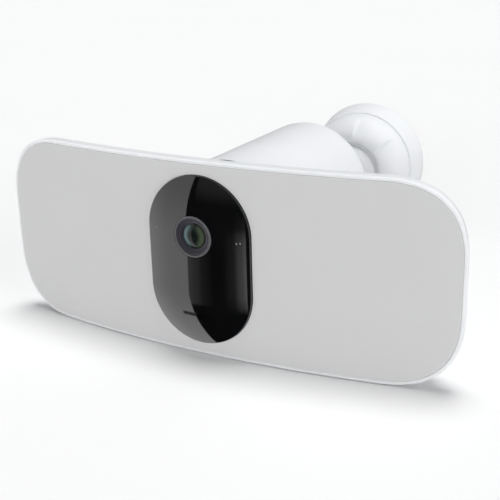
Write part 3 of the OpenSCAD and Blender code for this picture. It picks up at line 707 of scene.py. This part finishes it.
def off_spine(x, z):
    """Distance from the straight line that runs up the middle of the window."""
    flat = (WINDOW_H - WINDOW_W) / 2
    return math.hypot(x, max(0.0, abs(z) - flat))


def window_face(x, z):
    """Distance from the wall of the window's domed face, before its edge rounding."""
    return WINDOW_D - dome_sag(min(off_spine(x, z), WINDOW_W / 2))


def edge_drop(inset):
    """Depth lost to the rounding, a quarter circle at the outline."""
    if inset >= WINDOW_EDGE:
        return 0.0
    share = 1 - max(0.0, inset) / WINDOW_EDGE
    return WINDOW_EDGE * (1 - math.sqrt(max(0.0, 1 - share * share)))


def window_surface(x, z):
    return window_face(x, z) - edge_drop(WINDOW_W / 2 - off_spine(x, z))


def window_normal(x, depth, z):
    """Exact outward normal of the window's front, or None off that surface."""
    inset = WINDOW_W / 2 - off_spine(x, z)
    if abs(depth - window_surface(x, z)) > 0.02 or inset < 0.01:
        return None
    step = 0.005
    slope_x = (window_surface(x + step, z) - window_surface(x - step, z)) / (2 * step)
    slope_z = (window_surface(x, z + step) - window_surface(x, z - step)) / (2 * step)
    return Vector((-slope_x, -1, -slope_z)).normalized()


def build_window():
    """The glossy domed window, cut for the lens, the sound slot and the small ports."""
    wall = 2.2
    skirt_d = back_of("camera_window")

    def pill(inset):
        return pill_outline(WINDOW_W - 2 * inset, WINDOW_H - 2 * inset)

    loops = [at_depth(pill(0), skirt_d)]
    for i in range(7):
        inset = WINDOW_EDGE * (1 - math.cos(math.pi / 2 * i / 6))
        loops.append(at_depth(pill(inset), window_surface))
    for i in range(1, 19):
        inset = WINDOW_EDGE + (WINDOW_W / 2 - WINDOW_EDGE - 0.2) * i / 18
        loops.append(at_depth(pill(inset), window_surface))
    front = skin("camera_window_shell", loops, cap_first=True, cap_last=True)
    hollow = [at_depth(pill(wall), skirt_d - 2)]
    for i in range(9):
        inset = wall + (WINDOW_W / 2 - wall - 0.2) * i / 8
        hollow.append(at_depth(pill(inset), lambda x, z: window_face(x, z) - wall))
    back = skin("cutter", hollow, cap_first=True, cap_last=True)
    beyond = WINDOW_D + 2
    cutters = [back, rod_cutter(LENS_R + 0.12, skirt_d, beyond, 0, LENS_Z, 96)]
    cutters.append(slot_cutter(SLOT_W, SLOT_H, skirt_d, beyond, SLOT_Z))
    for x, z in port_places():
        cutters.append(rod_cutter(PORT_R, skirt_d, beyond, x, z, 20))
    cut(front, *cutters)
    finish_piece(front, "head", "gloss_black", "camera_window")
    follow_surface(front, window_normal)
    return front


def port_places():
    """One port left of the lens and a pair right of it."""
    right = PORT_X + 0.4
    return [(-PORT_X, LENS_Z + 1.2), (right - 1.1, LENS_Z - 1.65), (right + 1.1, LENS_Z - 1.35)]


def build_ports():
    """A small bright mesh dome set just inside each port."""
    rim = PORT_R - 0.07
    for i, (x, z) in enumerate(port_places()):
        face = window_face(x, z)
        back = face - 1.4
        dome = lathe("port_mesh_%d" % i, [
            (0.01, face - 0.08), (0.4, face - 0.12), (0.65, face - 0.25), (rim, face - 0.5),
            (rim, back), (0.01, back),
        ], z=z, x=x)
        finish_piece(dome, "head", "button_grey", look=PORT_MESH)


def build_grille():
    """Glossy ribs that stand across the sound slot, over a dark floor."""
    bm = bmesh.new()
    pitch = SLOT_W / SLOT_RIBS
    half = 0.32
    below, above = 1.0, 1.12
    set_in = 0.3
    border = 2
    floor_t = 0.8
    floor_d = back_of("slot_grille")
    for i in range(SLOT_RIBS):
        x = (i - (SLOT_RIBS - 1) / 2) * pitch
        for v in bmesh.ops.create_cube(bm, size=1)["verts"]:
            px = x + (half if v.co.x > 0 else -half)
            pz = SLOT_Z + (above if v.co.z > 0 else -below)
            depth = floor_d if v.co.y > 0 else window_face(px, pz) - set_in
            v.co = Vector((px, -depth, pz)) * MM
    reach = SLOT_H / 2 + border - 0.1
    add_box(bm, (-SLOT_W / 2 - border, SLOT_W / 2 + border), (floor_d + floor_t, floor_d),
            (SLOT_Z - reach, SLOT_Z + reach))
    piece = from_bmesh("slot_ribs", bm)
    soften(piece, 0.12)
    finish_piece(piece, "head", "gloss_black", "slot_grille")


def add_box(bm, xs, depths, zs):
    made = bmesh.ops.create_cube(bm, size=1)["verts"]
    for v in made:
        v.co = Vector((xs[v.co.x > 0], -depths[v.co.y > 0], zs[v.co.z > 0])) * MM


def from_bmesh(name, bm):
    bmesh.ops.recalc_face_normals(bm, faces=bm.faces)
    mesh = bpy.data.meshes.new(name)
    bm.to_mesh(mesh)
    bm.free()
    piece = bpy.data.objects.new(name, mesh)
    bpy.context.scene.collection.objects.link(piece)
    return piece


def ring_band(name, stations, z):
    """A ring round the lens that follows the window, from (radius, height above it)."""
    loops = []
    for radius, lift in stations:
        loops.append(at_depth(round_outline(radius, z),
                              lambda x, zz, lift=lift: window_face(x, zz) + lift))
    return skin(name, loops, joined=True)


def build_lens():
    """Thin trim ring, stepped baffle, front glass with painted reflections and a dark iris
    behind it.
    """
    outer = LENS_R
    inner = LENS_R - LENS_RING_T
    ring = ring_band("lens_trim_ring", [
        (outer, -5), (outer, -0.28), (outer - 0.15, -0.1), (outer - 0.45, -0.02),
        (outer - 0.8, -0.1), (inner, -0.3), (inner, -5),
    ], LENS_Z)
    finish_piece(ring, "head", "lens_trim", "lens_ring")
    face = window_face(0, LENS_Z) - 1.0
    lip = inner - 0.1
    glass_r, inner_r, back = 8.5, 5.0, face - 7.4
    barrel = lathe("lens_baffle", [
        (lip, face - 0.2), (lip - 1.2, face - 0.5), (11.0, face - 1.1), (10.8, face - 0.9),
        (10.2, face - 0.9), (10.0, face - 1.3), (9.7, face - 1.6), (9.0, face - 1.7),
        (8.8, face - 2.2), (glass_r, face - 2.2), (glass_r, face - 6), (lip, face - 6),
    ], z=LENS_Z)
    finish_piece(barrel, "head", "black_plastic", "lens_barrel", angle=20, look=BAFFLE)
    build_glass("lens_front_glass", glass_r, face - 2.0, 2.4, 1.6, "lens_cover", "lens_cover")
    build_glass("lens_inner_glass", inner_r, face - 4.6, 1.2, 1.6, "lens_glass",
                "lens_elements")
    iris = lathe("lens_iris", [
        (8.45, face - 3.7), (5.4, face - 4.3), (5.1, face - 4.6), (inner_r, face - 5.9),
        (2.2, face - 6.6), (2.1, back), (8.45, back),
    ], z=LENS_Z)
    finish_piece(iris, "head", "black_plastic", angle=20)


def build_glass(name, radius, rim_d, bulge, thick, slot, node):
    """A convex element: its rim at rim_d, its middle bulge further out."""
    steps = 12
    curve = (radius * radius + bulge * bulge) / (2 * bulge)
    front = []
    for i in range(steps + 1):
        r = max(0.01, radius * i / steps)
        front.append((r, rim_d + bulge - (curve - math.sqrt(curve * curve - r * r))))
    back = [(radius, rim_d - thick), (0.01, rim_d - thick)]
    piece = lathe(name, front + back, z=LENS_Z)
    finish_piece(piece, "head", slot, node)


# ---------------------------------------------------------------- pod


def pod_shell_normal(x, depth, z):
    flat = (POD_H - POD_W) / 2
    past = max(-flat, min(flat, z))
    out = Vector((x, 0, z - past))
    if abs(out.length - POD_W / 2) > 0.02 or depth < POD_BACK_D + POD_EDGE:
        return None
    return out.normalized()


def build_pod():
    """The white sleeve behind the lamp, rounded at the back, open at the front."""
    inner_edge = POD_EDGE - POD_WALL

    def pill(inset):
        return pill_outline(POD_W - 2 * inset, POD_H - 2 * inset)

    stud_hole_r = 6.35
    hole = round_outline(stud_hole_r)
    inner_d = POD_BACK_D + POD_WALL
    loops = []
    for across, depth in corner_arc((1.0, POD_FRONT_D - 1.0), 1.0, 90, 180, 4):
        loops.append(at_depth(pill(across), depth))
    for i in range(1, 4):
        depth = POD_FRONT_D + (POD_BACK_D + POD_EDGE - POD_FRONT_D) * i / 4
        loops.append(at_depth(pill(0), depth))
    for across, depth in corner_arc((POD_EDGE, POD_BACK_D + POD_EDGE), POD_EDGE, 180, 270, 12):
        loops.append(at_depth(pill(across), depth))
    for i in range(1, 5):
        loops.append(at_depth(between(pill(POD_EDGE), hole, i / 4), POD_BACK_D))
    loops.append(at_depth(hole, inner_d))
    for i in range(1, 5):
        loops.append(at_depth(between(hole, pill(POD_EDGE), i / 4), inner_d))
    for across, depth in corner_arc((POD_EDGE, inner_d + inner_edge), inner_edge, 270, 180, 6):
        loops.append(at_depth(pill(across), depth))
    loops.append(at_depth(pill(POD_WALL), POD_FRONT_D))
    piece = skin("pod_shell", loops, joined=True)
    cut(piece, release_cutter())
    finish_piece(piece, "pod", "white_plastic", "pod_housing")
    follow_surface(piece, pod_shell_normal)
    build_boss(inner_d)


def release_cutter():
    """A block a little larger than the release button, through the pod's underside."""
    low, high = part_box("release_button")
    gap, reach = 0.3 * MM, 5 * MM
    bm = bmesh.new()
    bmesh.ops.create_cube(bm, size=1)
    for v in bm.verts:
        v.co.x = (low.x - gap) if v.co.x < 0 else (high.x + gap)
        v.co.y = (low.y - gap) if v.co.y < 0 else (high.y + gap)
        v.co.z = (low.z - reach) if v.co.z < 0 else (high.z + reach)
    return from_bmesh("cutter", bm)


def build_boss(floor_d):
    """The boss inside the pod that holds the brass insert."""
    outer, bore, height, sunk = 11.9, 8.05, 12, 0.5
    boss = lathe("pod_boss", [
        (outer, floor_d - sunk), (outer, floor_d + height - 0.6),
        (outer - 0.6, floor_d + height), (bore, floor_d + height), (bore, floor_d - sunk),
    ])
    finish_piece(boss, "pod", "white_plastic")


# ---------------------------------------------------------------- wall mount


def build_base():
    """The round base: a rounded back edge and a slight taper up to the collar's seam."""
    seam_d = COLLAR_BACK_D - 0.3
    front_d = BALL_D + 2
    socket_r = 28.5
    floor_r = 14
    plate_d = 4.6
    back_r = BASE_R - 3.8
    edge = 3.6
    widest_d = 5.5
    profile = [(back_r, 0.0), (BASE_R - edge, widest_d - edge)]
    profile += corner_arc((BASE_R - edge, widest_d), edge, -90, 10, 8)
    profile += corner_arc((COLLAR_R + 0.3, seam_d - 1.2), 1.2, 20, 90, 5)
    profile += [(SPIGOT_R + 0.5, seam_d), (SPIGOT_R, seam_d + 0.5), (SPIGOT_R, front_d - 0.4),
                (SPIGOT_R - 0.4, front_d), (socket_r, front_d), (socket_r, BALL_D)]
    for angle in (20, 40, 55):
        turn = math.radians(angle)
        profile.append((socket_r * math.cos(turn), BALL_D - socket_r * math.sin(turn)))
    profile += [(floor_r, 6.5), (floor_r, plate_d), (back_r, plate_d)]
    piece = lathe("mount_base_shell", profile)
    cut(piece, set_screw_drill())
    return finish_piece(piece, "wall_mount", "white_plastic", "mount_base")


def set_screw_drill():
    """An upright cylinder round the set screw."""
    low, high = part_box("base_set_screw")
    radius, length = 2.15 * MM, 14 * MM
    bm = bmesh.new()
    bmesh.ops.create_cone(bm, cap_ends=True, segments=32, radius1=radius, radius2=radius,
                          depth=length)
    bmesh.ops.translate(bm, verts=bm.verts,
                        vec=((low.x + high.x) / 2, (low.y + high.y) / 2, low.z))
    return from_bmesh("cutter", bm)


def scoop_depth(turn, rise):
    """Hollow between ridges: deep just past a ridge, fading towards the next one."""
    part = ((turn - FIRST_RIDGE) * RIDGES / math.tau) % 1.0
    step = min(1.0, part / 0.11)
    drop = step * step * (3 - 2 * step)
    fade = max(0.0, 1 - part / 0.92) ** 1.3
    reach = min(1.0, max(0.0, (rise - 0.24) / 0.74))
    return 2.4 * drop * fade * math.sin(math.pi * reach) ** 1.2


def build_collar():
    """The locking collar: a dome with finger scoops between raised ridges."""
    lip_r = MOUTH_R + 2.0
    rise = MOUTH_D - COLLAR_BACK_D
    count = 8 * SIDE_POINTS
    rows = 40
    edge = 0.35

    def circle(radius, depth):
        return [Vector((radius * math.sin(math.tau * k / count), -depth,
                        radius * math.cos(math.tau * k / count))) * MM for k in range(count)]

    loops = []
    for i in range(rows + 1):
        up = i / rows
        angle = math.pi / 2 * up
        slope = Vector((rise * math.cos(angle), (COLLAR_R - lip_r) * math.sin(angle)))
        slope.normalize()
        ring = []
        for k in range(count):
            turn = math.tau * k / count
            dip = scoop_depth(turn, up)
            across = lip_r + (COLLAR_R - lip_r) * math.cos(angle) - slope.x * dip
            depth = COLLAR_BACK_D + edge + (rise - edge) * math.sin(angle) - slope.y * dip
            ring.append(Vector((across * math.sin(turn), -depth,
                                across * math.cos(turn))) * MM)
        loops.append(ring)
    bore_r = SPIGOT_R + 0.4
    bore_d = BALL_D + 2.3
    inner = [
        circle(MOUTH_R + 0.6, MOUTH_D), circle(MOUTH_R, MOUTH_D - 0.6),
        circle(MOUTH_R, MOUTH_D - 3.4), circle(RING_R, MOUTH_D - 3.5),
        circle(RING_R, bore_d), circle(bore_r, bore_d),
        circle(bore_r, COLLAR_BACK_D), circle(COLLAR_R - edge, COLLAR_BACK_D),
    ]
    piece = skin("collar_shell", loops + inner, joined=True)
    return finish_piece(piece, "collar", "white_plastic", "locking_collar", angle=50)


def build_ball():
    """Ball, neck and flange in one turned piece."""
    flange_d = POD_BACK_D - 1.3
    flange_r = size_of("swivel_washer", 0) / 2 + 2
    flange_t = 12
    stud_r = 6.0
    stud_end_d = POD_BACK_D + 12.9
    joint = math.asin(NECK_R / BALL_R)
    profile = [(0.01, BALL_D - BALL_R)]
    steps = 36
    last = math.pi / 2 - joint
    for i in range(1, steps + 1):
        angle = -math.pi / 2 + (math.pi / 2 + last) * i / steps
        profile.append((BALL_R * math.cos(angle), BALL_D + BALL_R * math.sin(angle)))
    throat = 14.0
    profile.append((NECK_R, BALL_D + BALL_R + 2.5))
    profile += corner_arc((NECK_R + throat, flange_d - flange_t - throat + 0.5), throat,
                          180, 95, 10)
    profile += [(flange_r - 0.8, flange_d - flange_t), (flange_r, flange_d - flange_t + 0.8),
                (flange_r, flange_d - 0.8), (flange_r - 0.8, flange_d)]
    profile += [(stud_r, flange_d), (stud_r, stud_end_d - 0.9), (stud_r - 0.8, stud_end_d),
                (0.01, stud_end_d)]
    piece = lathe("ball_and_neck", profile)
    return finish_piece(piece, "ball", "ball_plastic", "ball_stud")


# ---------------------------------------------------------------- stage


def aimed(azimuth, elevation):
    """Direction out of the lamp's front; azimuth grows to the right, in degrees."""
    side, rise = math.radians(azimuth), math.radians(elevation)
    return Vector((math.sin(side) * math.cos(rise), -math.cos(side) * math.cos(rise),
                   math.sin(rise)))


def ramp_node(tree, stops):
    ramp = tree.nodes.new("ShaderNodeValToRGB")
    ramp.color_ramp.interpolation = "EASE"
    first, last = stops[0], stops[-1]
    ramp.color_ramp.elements[0].position = first[0]
    ramp.color_ramp.elements[0].color = (first[1], first[1], first[1], 1)
    ramp.color_ramp.elements[1].position = last[0]
    ramp.color_ramp.elements[1].color = (last[1], last[1], last[1], 1)
    for place, level in stops[1:-1]:
        ramp.color_ramp.elements.new(place).color = (level, level, level, 1)
    return ramp


def glow_material(name, across, up, strength):
    """Emission that fades across and up the card by two ramps."""
    material = bpy.data.materials.new(name)
    material.use_nodes = True
    tree = material.node_tree
    tree.nodes.clear()
    glow = tree.nodes.new("ShaderNodeEmission")
    out = tree.nodes.new("ShaderNodeOutputMaterial")
    place = tree.nodes.new("ShaderNodeUVMap")
    split = tree.nodes.new("ShaderNodeSeparateXYZ")
    mix = tree.nodes.new("ShaderNodeMath")
    mix.operation = "MULTIPLY"
    gain = tree.nodes.new("ShaderNodeMath")
    gain.operation = "MULTIPLY"
    gain.inputs[1].default_value = strength
    tree.links.new(place.outputs["UV"], split.inputs["Vector"])
    for axis, stops, slot in (("X", across, 0), ("Y", up, 1)):
        ramp = ramp_node(tree, stops)
        tree.links.new(split.outputs[axis], ramp.inputs["Fac"])
        tree.links.new(ramp.outputs["Color"], mix.inputs[slot])
    tree.links.new(mix.outputs[0], gain.inputs[0])
    tree.links.new(gain.outputs[0], glow.inputs["Strength"])
    tree.links.new(glow.outputs["Emission"], out.inputs["Surface"])
    return material


def glow_card(name, left, right, rise, across, up, strength):
    """A curved card that only reflections see. left and right are azimuths at its foot and
    top, rise its lowest and highest elevation, all as seen from the camera window."""
    steps = 16
    reach = 1.6
    verts, faces, places = [], [], []
    centre = Vector((0, -WINDOW_D * MM, 0))
    for j in range(steps + 1):
        v = j / steps
        west = left[0] + (left[1] - left[0]) * v
        east = right[0] + (right[1] - right[0]) * v
        for i in range(steps + 1):
            u = i / steps
            turn = west + (east - west) * u
            verts.append(centre + aimed(turn, rise[0] + (rise[1] - rise[0]) * v) * reach)
            places.append((u, v))
    for j in range(steps):
        for i in range(steps):
            a = j * (steps + 1) + i
            faces.append((a, a + 1, a + steps + 2, a + steps + 1))
    mesh = bpy.data.meshes.new(name)
    mesh.from_pydata(verts, [], faces)
    layer = mesh.uv_layers.new(name="UVMap")
    for loop in mesh.loops:
        layer.data[loop.index].uv = places[loop.vertex_index]
    mesh.materials.append(glow_material(name, across, up, strength))
    card = bpy.data.objects.new(name, mesh)
    bpy.context.scene.collection.objects.link(card)
    card.visible_camera = False
    card.visible_diffuse = False
    card.visible_shadow = False
    card.visible_transmission = False


def reflections():
    """What the glossy window mirrors: a bright wall left, soft glows low and to the right."""
    glow_card("left_wall", (-112, -112), (-43, -31.5), (-75, 50),
              [(0, 0.8), (0.7, 0.9), (1, 1.0)], [(0, 1.3), (0.45, 1.0), (0.75, 0.75), (1, 0.7)],
              2.1)
    glow_card("low_glow", (-42, -36), (-14, -14), (-32, -12),
              [(0, 1.0), (0.35, 0.6), (0.6, 0.2), (1, 0)], [(0, 0), (0.15, 1), (0.7, 1), (1, 0)],
              0.6)
    glow_card("right_glow", (-7, -7), (14, 14), (-38, 6),
              [(0, 0), (0.45, 0.1), (0.78, 0.55), (1, 1)],
              [(0, 0), (0.22, 0.7), (0.38, 1), (0.52, 0.5), (0.66, 0.12), (1, 0)], 1.6)
    glow_card("sky_glow", (-30, -28), (45, 45), (6, 60),
              [(0, 0.8), (1, 1)], [(0, 0), (0.3, 0.3), (1, 0.5)], 1.0)


def sun(name, azimuth, elevation, spread, level):
    """A distant light. level is what a white surface that faces it would show."""
    data = bpy.data.lights.new(name, "SUN")
    data.energy = level * math.pi
    data.angle = math.radians(spread)
    light = bpy.data.objects.new(name, data)
    light.rotation_euler = (-aimed(azimuth, elevation)).to_track_quat("-Z", "Y").to_euler()
    light.visible_glossy = False
    bpy.context.scene.collection.objects.link(light)


def build_floor():
    """A pale flat floor under the lamp's lower edge, far larger than the picture."""
    level = cad_box[0].z - 0.0004
    half = 30.0
    mesh = bpy.data.meshes.new("floor")
    mesh.from_pydata([(-half, -half, level), (half, -half, level), (half, half, level),
                      (-half, half, level)], [], [(0, 1, 2, 3)])
    floor = bpy.data.objects.new("floor", mesh)
    material, tree, shader = new_material("floor")
    shader.inputs["Roughness"].default_value = 0.9
    shader.inputs["Specular IOR Level"].default_value = 0.0
    vary_colour(tree, shader, (0.90, 0.90, 0.90), 0.004, 3)
    mesh.materials.append(material)
    bpy.context.scene.collection.objects.link(floor)
    floor.visible_glossy = False


SKY_LEVEL = 0.26
TOP_LEVEL = 0.70
FRONT_LEVEL = 0.29
RIGHT_LEVEL = 0.30


def light_scene():
    """A wide light overhead, a little behind the lamp, with low fills from front and right."""
    scene = bpy.context.scene
    scene.view_settings.view_transform = "Standard"
    world = bpy.data.worlds.new("studio")
    world.use_nodes = True
    backdrop = world.node_tree.nodes["Background"]
    backdrop.inputs["Color"].default_value = (0.97, 0.985, 1.0, 1)
    backdrop.inputs["Strength"].default_value = SKY_LEVEL
    world.cycles_visibility.glossy = False
    scene.world = world
    sun("top", 180, 82.5, 26, TOP_LEVEL)
    sun("front", 8, 8, 30, FRONT_LEVEL)
    sun("right", 75, 14, 30, RIGHT_LEVEL)
    reflections()


dress_cad_nodes()
build_diffuser()
build_housing()
build_window()
build_ports()
build_grille()
build_lens()
build_pod()
build_base()
build_collar()
build_ball()
build_floor()
light_scene()
